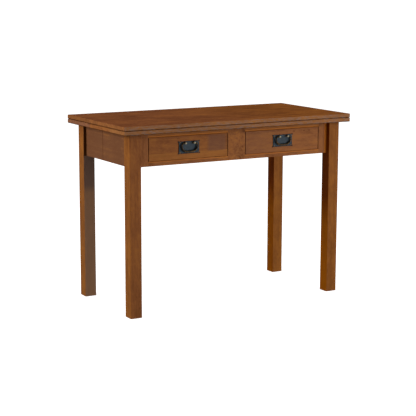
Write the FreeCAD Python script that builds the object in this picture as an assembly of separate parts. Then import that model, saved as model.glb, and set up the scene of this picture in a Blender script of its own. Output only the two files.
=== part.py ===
import FreeCAD, Part
import math
import os

Vector = FreeCAD.Vector

# Extendable console table, in millimetres. The origin is on the floor under the middle of the closed top.
# +X runs along the table to the right, +Y to the back and +Z up. The drawers open towards -Y.

# The top: two equal leaves, one lying over the other
top_width = 1016.0
top_depth = 508.0
table_height = 737.0
leaf_thickness = 15.9
leaf_gap = 1.1
leaf_edge_radius = 1.2
leaf_back_radius = 2.4

# Number of flats round small turned pieces, and along and round the bails' bends
turned_sides = 16
bail_bend_steps = 5
bail_sides = 10

# Square posts
leg_size = 47.6
leg_side_inset = 34.0
leg_end_inset = 26.5
leg_edge_radius = 1.6
glide_radius = 11.0
glide_thickness = 2.0

# Aprons and the face frame round the drawers
apron_height = 127.0
apron_thickness = 19.0
side_recess = 12.7
front_recess = 19.0
frame_thickness = 20.0
split_behind_middle = 30.0
butt_gap = 0.6
butt_bevel = 1.1
top_rail_height = 17.5
bottom_rail_height = 17.5
end_stile_width = 39.5
centre_stile_width = 78.0

# Joinery
tenon_length = 18.0
tenon_thickness = 8.0
tenon_shoulder = 15.0
stub_length = 10.0
stub_shoulder = 3.5
housing_depth = 8.0
glue_gap = 0.15
locator_height = 44.0
locator_reach = 14.0
locator_taper = 2.0
locator_gap = 0.3

# Wooden slides: a fixed, a middle and a moving member on each side
slide_height = 57.0
slide_thickness = 15.6
slide_face_gap = 0.4
slide_end_gap = 0.5
slide_clearance = 0.5
slide_overlap = 127.0
tongue_depth = 6.0
tongue_root = 16.0
tongue_tip = 21.0
stop_pin_radius = 3.0
stop_pin_seat = 8.0
stop_pin_reach = 4.0
stop_pin_end = 12.0
stop_slot_gap = 0.4
rear_top_gap = 0.5
rear_block_leg = 38.0
rear_block_inset = 6.0

# Drawer runners, kickers and the cross rail
cross_rail_depth = 54.0
runner_ledge = 22.0
guide_thickness = 17.0
guide_height = 27.0
kicker_width = 48.0
kicker_gap = 1.0

# Drawers
drawer_back_room = 97.0
drawer_front_thickness = 19.0
drawer_side_gap = 2.0
drawer_top_gap = 1.4
drawer_bottom_gap = 1.2
drawer_front_ease = 0.6
runner_gap = 0.3
box_side_thickness = 12.7
box_back_thickness = 12.7
box_side_drop = 3.0
box_back_drop = 3.5
bottom_thickness = 5.0
bottom_lift = 8.0
groove_depth = 5.0
tail_reach = 14.0
tail_flare = 2.2
tail_half_pin = 5.0
stop_width = 24.0
stop_thickness = 8.0
stop_height = 38.0
stop_rise = 7.5

# Pulls
plate_width = 96.0
plate_height = 50.0
plate_thickness = 2.2
plate_bevel = 0.7
plate_ear = 10.0
plate_tip = 2.4
plate_side_dip = 3.4
plate_top_dip = 1.2
post_spacing = 38.0
post_above_middle = 17.0
post_flange_radius = 5.2
post_flange_height = 1.2
post_radius = 3.4
post_neck_length = 9.4
post_head_radius = 4.1
post_head_height = 3.4
bail_pin_radius = 2.0
bail_pin_reach = 5.0
bail_pin_clearance = 0.06
bail_axis_height = 5.6
bail_arm_radius = 2.6
bail_grip_radius = 4.1
bail_shoulder_gap = 0.3
bail_shoulder_bend = 10.8
bail_bottom_bend = 24.0
bail_bottom_drop = 22.4

# Flap hinges of the upper leaf
hinge_end_inset = 127.0
hinge_width = 28.0
hinge_length = 46.0
hinge_plate_thickness = 2.6
hinge_pin_depth = 3.2
hinge_pin_radius = 1.3
hinge_knuckle_radius = 3.0
hinge_link_radius = 2.8
hinge_link_width = 10.4
hinge_side_gap = 0.3
hinge_swing_gap = 0.4
hinge_pocket_gap = 0.15
hinge_pin_clearance = 0.05

# Felt pads that keep the leaves apart
pad_size = 12.0
pad_inset = 32.0
pad_play = 0.1

# Places that follow from the sizes above. Names ending in _x, _y or _z are places on that axis.
side_x = top_width / 2
back_y = top_depth / 2
leaf_under_z = table_height - 2 * leaf_thickness - leaf_gap
lower_leaf_top_z = leaf_under_z + leaf_thickness
upper_leaf_under_z = lower_leaf_top_z + leaf_gap
apron_bottom_z = leaf_under_z - apron_height
rear_top_z = leaf_under_z - rear_top_gap

leg_outer_x = side_x - leg_side_inset
leg_inner_x = leg_outer_x - leg_size
leg_outer_y = back_y - leg_end_inset
leg_inner_y = leg_outer_y - leg_size
apron_outer_x = leg_outer_x - side_recess
apron_inner_x = apron_outer_x - apron_thickness
frame_outer_y = leg_outer_y - front_recess
frame_inner_y = frame_outer_y - frame_thickness
split_y = split_behind_middle

opening_outer_x = leg_inner_x - end_stile_width
opening_inner_x = centre_stile_width / 2
opening_low_z = apron_bottom_z + bottom_rail_height
opening_high_z = leaf_under_z - top_rail_height

fixed_end_y = leg_inner_y - slide_end_gap
slide_end_y = frame_inner_y - slide_end_gap
slide_low_z = rear_top_z - slide_height
slide_middle_z = rear_top_z - slide_height / 2
middle_outer_x = leg_inner_x - slide_face_gap
middle_inner_x = middle_outer_x - slide_thickness
moving_outer_x = middle_inner_x - slide_face_gap
moving_inner_x = moving_outer_x - slide_thickness
stage_travel = fixed_end_y + slide_end_y - slide_overlap
fixed_pin_y = fixed_end_y - stop_pin_end
middle_pin_y = slide_end_y - stop_pin_end

runner_end_y = split_y - slide_end_gap - cross_rail_depth
drawer_front_y = -frame_outer_y
drawer_inner_y = drawer_front_y + drawer_front_thickness
drawer_end_y = frame_inner_y - drawer_back_room
drawer_back_y = drawer_end_y - box_back_thickness
drawer_inner_x = opening_inner_x + drawer_side_gap
drawer_outer_x = opening_outer_x - drawer_side_gap
drawer_middle_x = (drawer_inner_x + drawer_outer_x) / 2
box_low_z = opening_low_z + runner_gap
box_high_z = opening_high_z - box_side_drop
box_floor_z = box_low_z + bottom_lift
pull_z = (opening_low_z + opening_high_z) / 2
post_z = pull_z + post_above_middle
plate_front_y = drawer_front_y - plate_thickness
bail_axis_y = plate_front_y - bail_axis_height

hinge_pin_y = back_y - hinge_pin_depth
lower_pin_z = lower_leaf_top_z - hinge_pin_depth
upper_pin_z = upper_leaf_under_z + hinge_pin_depth
mid_gap_z = lower_leaf_top_z + leaf_gap / 2
hinge_places_x = (-(side_x - hinge_end_inset), 0, side_x - hinge_end_inset)


# Basic shapes
def box(low_x, high_x, low_y, high_y, low_z, high_z):
    corner = Vector(low_x, low_y, low_z)
    return Part.makeBox(high_x - low_x, high_y - low_y, high_z - low_z, corner)


def rod(centre, direction, radius, length):
    return Part.makeCylinder(radius, length, centre, direction)


def prism(points, along):
    loop = Part.makePolygon(points + [points[0]])
    return Part.Face(loop).extrude(along)


def joined(shapes):
    return shapes[0].fuse(shapes[1:]).removeSplitter()


def mirrored_x(shape):
    return shape.mirror(Vector(0, 0, 0), Vector(1, 0, 0))


def mirrored_y(shape):
    return shape.mirror(Vector(0, 0, 0), Vector(0, 1, 0))


def turned_profile(outline, base, axis):
    """A small turned piece with flats round it, through (radius, height) points along axis from base."""
    rings = []
    angles = [2 * math.pi * side / turned_sides for side in range(turned_sides)]
    for radius, height in outline:
        rings.append([Vector(radius * math.cos(angle), radius * math.sin(angle), height)
                      for angle in angles])
    faces = [Part.Face(Part.makePolygon(ring + [ring[0]])) for ring in (rings[0], rings[-1])]
    for low, high in zip(rings, rings[1:]):
        for side in range(turned_sides):
            corners = [low[side - 1], low[side], high[side], high[side - 1], low[side - 1]]
            faces.append(Part.Face(Part.makePolygon(corners)))
    solid = Part.makeSolid(Part.makeShell(faces))
    solid.Placement = FreeCAD.Placement(base, FreeCAD.Rotation(Vector(0, 0, 1), axis))
    return solid


def is_upright(edge):
    span = edge.BoundBox
    return span.ZLength > max(span.XLength, span.YLength)


def upright_edges(block):
    return [edge for edge in block.Edges if is_upright(edge)]


def write(name, shapes):
    solids = shapes if isinstance(shapes, list) else [shapes]
    whole = solids[0] if len(solids) == 1 else Part.makeCompound(solids)
    whole.exportStep("parts/" + name + ".step")


# Tenons and mortises. A tenon is a box, and its mortise is that box grown by the glue gap.
def grown_box(block, gap):
    edges = block.BoundBox
    return box(edges.XMin - gap, edges.XMax + gap, edges.YMin - gap, edges.YMax + gap,
               edges.ZMin - gap, edges.ZMax + gap)


def mortise(tenon):
    return grown_box(tenon, glue_gap)


def stile_tenon():
    """The right end stile's tenon in the right front leg."""
    middle_y = -(frame_outer_y + frame_inner_y) / 2
    return box(leg_inner_x, leg_inner_x + tenon_length, middle_y - tenon_thickness / 2,
               middle_y + tenon_thickness / 2, apron_bottom_z + tenon_shoulder,
               leaf_under_z - tenon_shoulder)


def side_tenon():
    """The tenon of the right side apron's front half in the right front leg."""
    middle_x = (apron_outer_x + apron_inner_x) / 2
    return box(middle_x - tenon_thickness / 2, middle_x + tenon_thickness / 2,
               -leg_inner_y - tenon_length, -leg_inner_y, apron_bottom_z + tenon_shoulder,
               leaf_under_z - tenon_shoulder)


def rail_stubs(low_z, high_z):
    """The two stub tenons of a short rail over or under the right drawer."""
    middle_y = -(frame_outer_y + frame_inner_y) / 2
    stubs = []
    for low_x, high_x in ((opening_inner_x - stub_length, opening_inner_x),
                          (opening_outer_x, opening_outer_x + stub_length)):
        stubs.append(box(low_x, high_x, middle_y - tenon_thickness / 2, middle_y + tenon_thickness / 2,
                         low_z + stub_shoulder, high_z - stub_shoulder))
    return stubs


def rail_levels():
    return ((opening_high_z, leaf_under_z), (apron_bottom_z, opening_low_z))


def moving_tenon():
    """The right moving slide's tenon in the rear apron."""
    return box(moving_inner_x + slide_thickness / 4, moving_outer_x - slide_thickness / 4,
               frame_inner_y, frame_inner_y + stub_length, slide_low_z + tenon_shoulder,
               rear_top_z - tenon_shoulder)


# Legs
def leg(front, right):
    """A square post with its mortises. The rear legs are shorter by the sliding gap under the leaf."""
    top_z = leaf_under_z if front else rear_top_z
    post = box(leg_inner_x, leg_outer_x, -leg_outer_y, -leg_inner_y, glide_thickness, top_z)
    post = post.makeFillet(leg_edge_radius, upright_edges(post))
    post = post.cut([mortise(stile_tenon()), mortise(side_tenon())])
    if not front:
        post = mirrored_y(post)
    return post if right else mirrored_x(post)


def glides(front):
    """Hard discs nailed under the feet."""
    middle_x = (leg_outer_x + leg_inner_x) / 2
    middle_y = (leg_outer_y + leg_inner_y) / 2
    outline = [(glide_radius - glide_thickness / 2, 0), (glide_radius, glide_thickness)]
    y = -middle_y if front else middle_y
    return [turned_profile(outline, Vector(x, y, 0), Vector(0, 0, 1)) for x in (-middle_x, middle_x)]


# Face frame
def end_stile():
    stile = box(opening_outer_x, leg_inner_x, -frame_outer_y, -frame_inner_y, apron_bottom_z, leaf_under_z)
    sockets = [mortise(rail_stubs(*level)[1]) for level in rail_levels()]
    return joined([stile, stile_tenon()]).cut(sockets)


def centre_stile():
    stile = box(-opening_inner_x, opening_inner_x, -frame_outer_y, -frame_inner_y, apron_bottom_z,
                leaf_under_z)
    sockets = [mortise(rail_stubs(*level)[0]) for level in rail_levels()]
    return stile.cut(sockets + [mirrored_x(socket) for socket in sockets])


def short_rail(low_z, high_z):
    rail = box(opening_inner_x, opening_outer_x, -frame_outer_y, -frame_inner_y, low_z, high_z)
    return joined([rail] + rail_stubs(low_z, high_z))


def rail_pair(low_z, high_z):
    rail = short_rail(low_z, high_z)
    return [mirrored_x(rail), rail]


# Side aprons, cut across behind the middle
def cross_rail():
    """A flat rail under the drawers' ends, housed in the two side aprons."""
    return box(-apron_inner_x - housing_depth, apron_inner_x + housing_depth, runner_end_y,
               split_y - slide_end_gap, apron_bottom_z, opening_low_z)


def locator():
    """The flat tongue that stands out of the right rear half apron and closes the butt joint in line."""
    middle_x = (apron_outer_x + apron_inner_x) / 2
    middle_z = (apron_bottom_z + rear_top_z) / 2
    half_height = locator_height / 2
    narrow = half_height - locator_taper
    low_x = middle_x - tenon_thickness / 2
    tip_y = split_y - locator_reach
    shoulder_y = tip_y + 2 * locator_taper
    root_y = split_y + locator_reach
    outline = [(tip_y, narrow), (shoulder_y, half_height), (root_y, half_height),
               (root_y, -half_height), (shoulder_y, -half_height), (tip_y, -narrow)]
    points = [Vector(low_x, y, middle_z + z) for y, z in outline]
    return prism(points, Vector(tenon_thickness, 0, 0))


def eased_butt(board, end_y):
    """Bevels the upright outer edge at the butt joint, so the joint shows as a fine groove."""
    edges = [edge for edge in board.Edges if edge.BoundBox.XMin > apron_outer_x - butt_bevel
             and edge.BoundBox.YLength < butt_bevel and abs(edge.BoundBox.YMin - end_y) < butt_bevel]
    return board.makeChamfer(butt_bevel, edges)


def front_half_apron():
    apron = box(apron_inner_x, apron_outer_x, -leg_inner_y, split_y, apron_bottom_z, leaf_under_z)
    apron = eased_butt(apron, split_y)
    return joined([apron, side_tenon()]).cut([mortise(cross_rail()), grown_box(locator(), locator_gap)])


def rear_half_apron():
    """The half that rides with the rear frame, thinned inside to clear the fixed slide."""
    inner_x = apron_inner_x + slide_face_gap
    apron = box(inner_x, apron_outer_x, split_y + butt_gap, leg_inner_y, apron_bottom_z, rear_top_z)
    apron = eased_butt(apron, split_y + butt_gap)
    return joined([apron, mirrored_y(side_tenon())]).cut(mortise(locator()))


def rear_apron():
    apron = box(-leg_inner_x, leg_inner_x, frame_inner_y, frame_outer_y, apron_bottom_z, rear_top_z)
    end = mirrored_y(stile_tenon())
    sockets = [mortise(moving_tenon())]
    sockets.append(mirrored_x(sockets[0]))
    return joined([apron, end, mirrored_x(end)]).cut(sockets)


# Telescoping slides. Each profile is drawn for the right side, looking along +Y.
def tongue_points(face_x, depth, root, tip):
    """The four corners of a dovetail tongue or groove that reaches inwards from face_x."""
    return [(face_x, slide_middle_z + root / 2), (face_x - depth, slide_middle_z + tip / 2),
            (face_x - depth, slide_middle_z - tip / 2), (face_x, slide_middle_z - root / 2)]


def slide_member(outer_x, inner_x, low_y, high_y, high_z, grooved, tongued):
    outline = [(outer_x, high_z), (inner_x, high_z)]
    if tongued:
        outline += tongue_points(inner_x, tongue_depth, tongue_root, tongue_tip)
    outline += [(inner_x, slide_low_z), (outer_x, slide_low_z)]
    if grooved:
        mouth = tongue_root + 2 * slide_clearance
        floor = tongue_tip + 2 * slide_clearance
        outline += reversed(tongue_points(outer_x, tongue_depth, mouth, floor))
    points = [Vector(x, low_y, z) for x, z in outline]
    return prism(points, Vector(0, high_y - low_y, 0))


def stop_pin(face_x, y):
    """A steel pin set in a tongue whose end stands out into the next member's slot."""
    tip_x = face_x - tongue_depth - stop_pin_reach
    length = tongue_depth + stop_pin_reach + stop_pin_seat
    outline = [(stop_pin_radius, 0), (stop_pin_radius, length)]
    return turned_profile(outline, Vector(tip_x, y, slide_middle_z), Vector(1, 0, 0))


def stop_pin_hole(face_x, y):
    start = Vector(face_x + stop_pin_seat + glue_gap, y, slide_middle_z)
    length = tongue_depth + stop_pin_seat + 2 * glue_gap
    return rod(start, Vector(-1, 0, 0), stop_pin_radius + glue_gap, length)


def stop_slot(face_x, y):
    """A round-ended slot in the groove's floor, as long as the stage travels."""
    half = stop_pin_radius + stop_slot_gap
    start_x = face_x - tongue_depth
    depth = stop_pin_reach + stop_slot_gap
    ends = [rod(Vector(start_x, end_y, slide_middle_z), Vector(-1, 0, 0), half, depth)
            for end_y in (y - stage_travel, y)]
    run = box(start_x - depth, start_x, y - stage_travel, y, slide_middle_z - half, slide_middle_z + half)
    return joined(ends + [run])


def fixed_slide():
    member = slide_member(apron_inner_x, leg_inner_x, -leg_inner_y, fixed_end_y, leaf_under_z, False, True)
    return member.cut(stop_pin_hole(leg_inner_x, fixed_pin_y))


def middle_slide():
    member = slide_member(middle_outer_x, middle_inner_x, -slide_end_y, slide_end_y, rear_top_z, True, True)
    return member.cut([stop_slot(middle_outer_x, fixed_pin_y), stop_pin_hole(middle_inner_x, middle_pin_y)])


def moving_slide():
    member = slide_member(moving_outer_x, moving_inner_x, -slide_end_y, frame_inner_y, rear_top_z, True,
                          False)
    member = member.cut(stop_slot(moving_outer_x, middle_pin_y))
    return joined([member, moving_tenon()])


def rear_corner_blocks():
    """Triangular blocks glued in the corners between the moving slides and the rear apron."""
    low_z = slide_low_z + rear_block_inset
    corners = ((moving_inner_x, frame_inner_y), (moving_inner_x - rear_block_leg, frame_inner_y),
               (moving_inner_x, frame_inner_y - rear_block_leg))
    outline = [Vector(x, y, low_z) for x, y in corners]
    block = prism(outline, Vector(0, 0, slide_height - 2 * rear_block_inset))
    return [mirrored_x(block), block]


# What the drawers run on
def outer_runner():
    """A ledge under the right drawer's outer side with a guide beside it."""
    low_x = drawer_outer_x - runner_ledge
    guide_x = opening_outer_x
    outline = [(low_x, apron_bottom_z), (guide_x + guide_thickness, apron_bottom_z),
               (guide_x + guide_thickness, opening_low_z + guide_height),
               (guide_x, opening_low_z + guide_height), (guide_x, opening_low_z), (low_x, opening_low_z)]
    points = [Vector(x, -frame_inner_y, z) for x, z in outline]
    return prism(points, Vector(0, runner_end_y + frame_inner_y, 0))


def centre_runner():
    """Two ledges with one guide between the drawers."""
    half = opening_inner_x
    ledge_x = drawer_inner_x + runner_ledge
    outline = [(-ledge_x, apron_bottom_z), (ledge_x, apron_bottom_z), (ledge_x, opening_low_z),
               (half, opening_low_z), (half, opening_low_z + guide_height),
               (-half, opening_low_z + guide_height), (-half, opening_low_z), (-ledge_x, opening_low_z)]
    points = [Vector(x, -frame_inner_y, z) for x, z in outline]
    return prism(points, Vector(0, runner_end_y + frame_inner_y, 0))


def kickers():
    """Strips under the leaf that keep an open drawer level."""
    outer_x = moving_inner_x - kicker_gap
    ledge_x = drawer_inner_x + runner_ledge
    strips = []
    for low_x, high_x in ((-outer_x, kicker_width - outer_x), (-ledge_x, ledge_x),
                          (outer_x - kicker_width, outer_x)):
        strips.append(box(low_x, high_x, -frame_inner_y, drawer_end_y, opening_high_z, leaf_under_z))
    return strips


# Leaves and their flap hinges. Each hinge is drawn in the lower leaf and mirrored for the upper one.
def hinge_slot_half():
    return hinge_link_width / 2 + hinge_side_gap


def hinge_plate(x):
    """A flush plate with two lugs at the leaf's edge and a riveted pin across the slot between them."""
    half = hinge_width / 2
    slab = box(x - half, x + half, back_y - hinge_length, hinge_pin_y,
               lower_leaf_top_z - hinge_plate_thickness, lower_leaf_top_z)
    pin_end = Vector(x - half, hinge_pin_y, lower_pin_z)
    lugs = rod(pin_end, Vector(1, 0, 0), hinge_knuckle_radius, hinge_width)
    swing = hinge_link_radius + hinge_swing_gap
    slot = box(x - hinge_slot_half(), x + hinge_slot_half(), hinge_pin_y - swing, back_y,
               lower_pin_z - swing, lower_leaf_top_z)
    pin = rod(Vector(x - hinge_slot_half(), hinge_pin_y, lower_pin_z), Vector(1, 0, 0), hinge_pin_radius,
              2 * hinge_slot_half())
    return joined([joined([slab, lugs]).cut(slot), pin])


def hinge_pocket(x):
    """The recess of one plate, open at the leaf's edge where the knuckle lies."""
    half = hinge_width / 2 + hinge_pocket_gap
    swing = hinge_link_radius + hinge_swing_gap
    slab = box(x - half, x + half, back_y - hinge_length - hinge_pocket_gap, back_y,
               lower_leaf_top_z - hinge_plate_thickness, lower_leaf_top_z)
    knuckle = box(x - half, x + half, hinge_pin_y - swing, back_y, lower_pin_z - swing, lower_leaf_top_z)
    return joined([slab, knuckle])


def hinge_link(x):
    """The short bar between the two pins, upright while the top is closed."""
    half = hinge_link_width / 2
    low = Vector(x - half, hinge_pin_y, lower_pin_z)
    high = Vector(x - half, hinge_pin_y, upper_pin_z)
    across = Vector(1, 0, 0)
    bar = box(x - half, x + half, hinge_pin_y - hinge_link_radius, hinge_pin_y + hinge_link_radius,
              lower_pin_z, upper_pin_z)
    ends = [rod(end, across, hinge_link_radius, hinge_link_width) for end in (low, high)]
    bore_radius = hinge_pin_radius + hinge_pin_clearance
    bores = [rod(end, across, bore_radius, hinge_link_width) for end in (low, high)]
    return joined([bar] + ends).cut(bores)


def to_upper_leaf(shape):
    return shape.mirror(Vector(0, 0, mid_gap_z), Vector(0, 0, 1))


def long_edges(block, way):
    return [edge for edge in block.Edges if edge.BoundBox.XLength > side_x and way * edge.BoundBox.YMin > 0]


def lower_leaf():
    """A board with eased rims, rounder at the back where the leaves roll past each other.

    It has pockets for the hinges. The upper leaf is its mirror image.
    """
    board = box(-side_x, side_x, -back_y, back_y, leaf_under_z, lower_leaf_top_z)
    ends = [edge for edge in board.Edges if edge.BoundBox.YLength > back_y]
    eased_ends = board.makeFillet(leaf_edge_radius, ends)
    eased_sides = board.makeFillet(leaf_edge_radius, long_edges(board, -1))
    eased_sides = eased_sides.makeFillet(leaf_back_radius, long_edges(eased_sides, 1))
    board = eased_sides.common(eased_ends)
    return board.cut([hinge_pocket(x) for x in hinge_places_x])


def felt_pads():
    """Square pads along the front edge and across the middle of the lower leaf."""
    x = side_x - pad_inset
    y = back_y - pad_inset
    half = pad_size / 2
    high_z = upper_leaf_under_z - pad_play
    return [box(place_x - half, place_x + half, place_y - half, place_y + half, lower_leaf_top_z, high_z)
            for place_x in (-x, 0, x) for place_y in (-y, 0)]


# Drawers, drawn for the right one and mirrored for the left one
def tail_levels():
    """Low and high edges of the three dovetails, at their narrow roots."""
    low = box_floor_z + bottom_thickness + tail_half_pin
    high = box_high_z - box_back_drop - tail_half_pin
    pitch = (high - low) / 3
    pin = 2 * tail_half_pin
    return [(low + count * pitch, low + (count + 1) * pitch - pin) for count in range(3)]


def tail(low_x, root_y, tip_y, low_z, high_z):
    """One dovetail of a drawer side, wider at its tip by the flare."""
    points = [Vector(low_x, root_y, low_z), Vector(low_x, tip_y, low_z - tail_flare),
              Vector(low_x, tip_y, high_z + tail_flare), Vector(low_x, root_y, high_z)]
    return prism(points, Vector(box_side_thickness, 0, 0))


def side_tails(low_x):
    front_tip_y = drawer_inner_y - tail_reach
    tails = []
    for low_z, high_z in tail_levels():
        tails.append(tail(low_x, drawer_inner_y, front_tip_y, low_z, high_z))
        tails.append(tail(low_x, drawer_back_y, drawer_end_y, low_z, high_z))
    return tails


def side_places():
    return (drawer_inner_x, drawer_outer_x - box_side_thickness)


def all_tails():
    return [one for low_x in side_places() for one in side_tails(low_x)]


def bottom_board():
    low_x = drawer_inner_x + box_side_thickness - groove_depth
    high_x = drawer_outer_x - box_side_thickness + groove_depth
    return box(low_x, high_x, drawer_inner_y - groove_depth, drawer_end_y, box_floor_z,
               box_floor_z + bottom_thickness)


def drawer_sides():
    sides = []
    for low_x in side_places():
        board = box(low_x, low_x + box_side_thickness, drawer_inner_y, drawer_back_y, box_low_z, box_high_z)
        foot = box(low_x, low_x + box_side_thickness, drawer_back_y, drawer_end_y, box_low_z,
                   box_floor_z + bottom_thickness)
        sides.append(joined([board, foot] + side_tails(low_x)).cut(bottom_board()))
    return sides


def drawer_front():
    front = box(drawer_inner_x, drawer_outer_x, drawer_front_y, drawer_inner_y,
                opening_low_z + drawer_bottom_gap, opening_high_z - drawer_top_gap)
    rim = [edge for edge in front.Edges if edge.BoundBox.YMax < drawer_inner_y - drawer_front_thickness / 2]
    front = front.makeFillet(drawer_front_ease, rim)
    return front.cut(all_tails() + [bottom_board()])


def drawer_back():
    """A board between the tails that stands on the bottom board."""
    back = box(drawer_inner_x, drawer_outer_x, drawer_back_y, drawer_end_y, box_floor_z + bottom_thickness,
               box_high_z - box_back_drop)
    return back.cut(all_tails())


def drawer_stop():
    """A turned-up block on the back that meets the top rail when the drawer is fully out."""
    high_z = opening_high_z + stop_rise
    return box(drawer_middle_x - stop_width / 2, drawer_middle_x + stop_width / 2,
               drawer_back_y - stop_thickness, drawer_back_y, high_z - stop_height, high_z)


# Pulls
def flare_middle(dip):
    """The middle of an ear's hollow curve: how far it lies off the straight side and along it."""
    run = plate_ear - plate_tip
    turn = 2 * math.atan(dip / run)
    radius = run / math.sin(turn)
    return radius * (1 - math.cos(turn / 2)), radius * math.sin(turn / 2)


def plate_point(x, z):
    return Vector(drawer_middle_x + x, drawer_front_y, pull_z + z)


def ear_edges(left_right, up_down):
    """One corner of the plate: its blunt tip and the hollow curves that run into the straight sides."""
    half_x = plate_width / 2
    half_z = plate_height / 2
    side_x = half_x - plate_side_dip
    top_z = half_z - plate_top_dip
    side_out, side_run = flare_middle(plate_side_dip)
    top_out, top_run = flare_middle(plate_top_dip)
    path = [(side_x, half_z - plate_ear), (side_x + side_out, half_z - plate_ear + side_run),
            (half_x, half_z - plate_tip), (half_x, half_z), (half_x - plate_tip, half_z),
            (half_x - plate_ear + top_run, top_z + top_out), (half_x - plate_ear, top_z)]
    points = [plate_point(left_right * x, up_down * z) for x, z in path]
    return [Part.Arc(*points[:3]).toShape(), Part.makeLine(points[2], points[3]),
            Part.makeLine(points[3], points[4]), Part.Arc(*points[4:]).toShape()]


def plate_outline():
    """A rectangle with drawn-in straight sides that flare out into an ear at each corner."""
    side_x = plate_width / 2 - plate_side_dip
    side_z = plate_height / 2 - plate_ear
    top_x = plate_width / 2 - plate_ear
    top_z = plate_height / 2 - plate_top_dip
    edges = []
    for way in (-1, 1):
        edges.append(Part.makeLine(plate_point(way * side_x, -side_z), plate_point(way * side_x, side_z)))
        edges.append(Part.makeLine(plate_point(-top_x, way * top_z), plate_point(top_x, way * top_z)))
        edges += ear_edges(way, -1) + ear_edges(way, 1)
    return Part.Wire(Part.__sortEdges__(edges))


def pull_plate():
    plate = Part.Face(plate_outline()).extrude(Vector(0, -plate_thickness, 0))
    rim = [edge for edge in plate.Edges if edge.BoundBox.YMax < drawer_front_y - plate_thickness / 2]
    return plate.makeChamfer(plate_bevel, rim)


def post(side):
    """A turned post with a foot flange, a neck that the bail goes into and a domed head."""
    base = Vector(drawer_middle_x + side * post_spacing / 2, plate_front_y, post_z)
    full = post_neck_length + post_head_height
    outline = [(post_flange_radius, 0), (post_flange_radius, post_flange_height / 2),
               (post_radius, post_flange_height), (post_radius, post_neck_length),
               (post_head_radius, post_neck_length), (post_head_radius, full - post_head_height / 2),
               (post_head_radius * math.cos(math.pi / 4), full - post_head_height / 6),
               (post_head_radius / 3, full)]
    body = turned_profile(outline, base, Vector(0, -1, 0))
    bore_start = Vector(drawer_middle_x, bail_axis_y, post_z)
    reach = post_spacing / 2 + post_flange_radius
    return body.cut(rod(bore_start, Vector(side, 0, 0), bail_pin_radius + bail_pin_clearance, reach))


def bail_stations():
    """Points (x, z, turn, radius) from the right post's side round to the middle of the grip."""
    shoulder_x = post_spacing / 2 + post_radius + bail_shoulder_gap
    bend_x = shoulder_x + bail_shoulder_gap
    widest_x = bend_x + bail_shoulder_bend
    floor_x = widest_x - bail_bottom_bend
    floor_z = -bail_shoulder_bend - bail_bottom_drop
    quarter = math.pi / 2
    stations = [(shoulder_x, 0, 0, bail_arm_radius)]
    for step in range(bail_bend_steps + 1):
        turn = quarter * step / bail_bend_steps
        stations.append((bend_x + bail_shoulder_bend * math.sin(turn),
                         bail_shoulder_bend * (math.cos(turn) - 1), turn, bail_arm_radius))
    for step in range(1, bail_bend_steps + 1):
        share = step / bail_bend_steps
        across = math.cos(quarter * share)
        down = math.sin(quarter * share)
        turn = math.atan2(bail_bottom_bend * down, bail_bottom_drop * across)
        radius = bail_arm_radius + (bail_grip_radius - bail_arm_radius) * share
        stations.append((floor_x + bail_bottom_bend * across,
                         -bail_shoulder_bend - bail_bottom_drop * down, quarter + turn, radius))
    stations.append((0, floor_z, math.pi, bail_grip_radius))
    return stations


def bail_section(x, z, turn, radius):
    """The many-sided section of the bail at one station, square to its run."""
    corners = []
    for side in range(bail_sides + 1):
        angle = 2 * math.pi * (side + 1 / 2) / bail_sides
        out = radius * math.sin(angle)
        corner_x = drawer_middle_x + x + out * math.sin(turn)
        corner_z = post_z + z + out * math.cos(turn)
        corners.append(Vector(corner_x, bail_axis_y + radius * math.cos(angle), corner_z))
    return Part.makePolygon(corners)


def bail():
    """A hanging bail that swells from its arms to the grip, with a pin into each post."""
    right = bail_stations()
    left = [(-x, z, 2 * math.pi - turn, radius) for x, z, turn, radius in right[-2::-1]]
    bar = Part.makeLoft([bail_section(*station) for station in right + left], True, True)
    pins = []
    for side in (-1, 1):
        inner_x = drawer_middle_x + side * (post_spacing / 2 + post_radius - bail_pin_reach)
        pins.append(rod(Vector(inner_x, bail_axis_y, post_z), Vector(side, 0, 0), bail_pin_radius,
                        bail_pin_reach + bail_shoulder_gap))
    return joined([bar] + pins)


# Nodes of each assembly
def write_front_frame():
    write("front_left_leg", leg(True, False))
    write("front_right_leg", leg(True, True))
    write("left_end_stile", mirrored_x(end_stile()))
    write("right_end_stile", end_stile())
    write("centre_stile", centre_stile())
    write("top_rails", rail_pair(opening_high_z, leaf_under_z))
    write("bottom_rails", rail_pair(apron_bottom_z, opening_low_z))
    write("left_front_apron", mirrored_x(front_half_apron()))
    write("right_front_apron", front_half_apron())
    write("left_fixed_slide", mirrored_x(fixed_slide()))
    write("right_fixed_slide", fixed_slide())
    pin = stop_pin(leg_inner_x, fixed_pin_y)
    write("fixed_stop_pins", [mirrored_x(pin), pin])
    write("cross_rail", cross_rail())
    write("outer_runners", [mirrored_x(outer_runner()), outer_runner()])
    write("centre_runner", centre_runner())
    write("drawer_kickers", kickers())
    write("front_glides", glides(True))


def write_top():
    write("lower_leaf", lower_leaf())
    write("upper_leaf", to_upper_leaf(lower_leaf()))
    plates = [hinge_plate(x) for x in hinge_places_x]
    write("lower_hinge_plates", plates)
    write("upper_hinge_plates", [to_upper_leaf(plate) for plate in plates])
    write("hinge_links", [hinge_link(x) for x in hinge_places_x])
    write("felt_pads", felt_pads())


def write_rear_frame():
    write("rear_left_leg", leg(False, False))
    write("rear_right_leg", leg(False, True))
    write("rear_apron", rear_apron())
    write("left_rear_apron", mirrored_x(rear_half_apron()))
    write("right_rear_apron", rear_half_apron())
    write("locating_tongues", [mirrored_x(locator()), locator()])
    write("left_moving_slide", mirrored_x(moving_slide()))
    write("right_moving_slide", moving_slide())
    write("rear_corner_blocks", rear_corner_blocks())
    write("rear_glides", glides(False))


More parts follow.
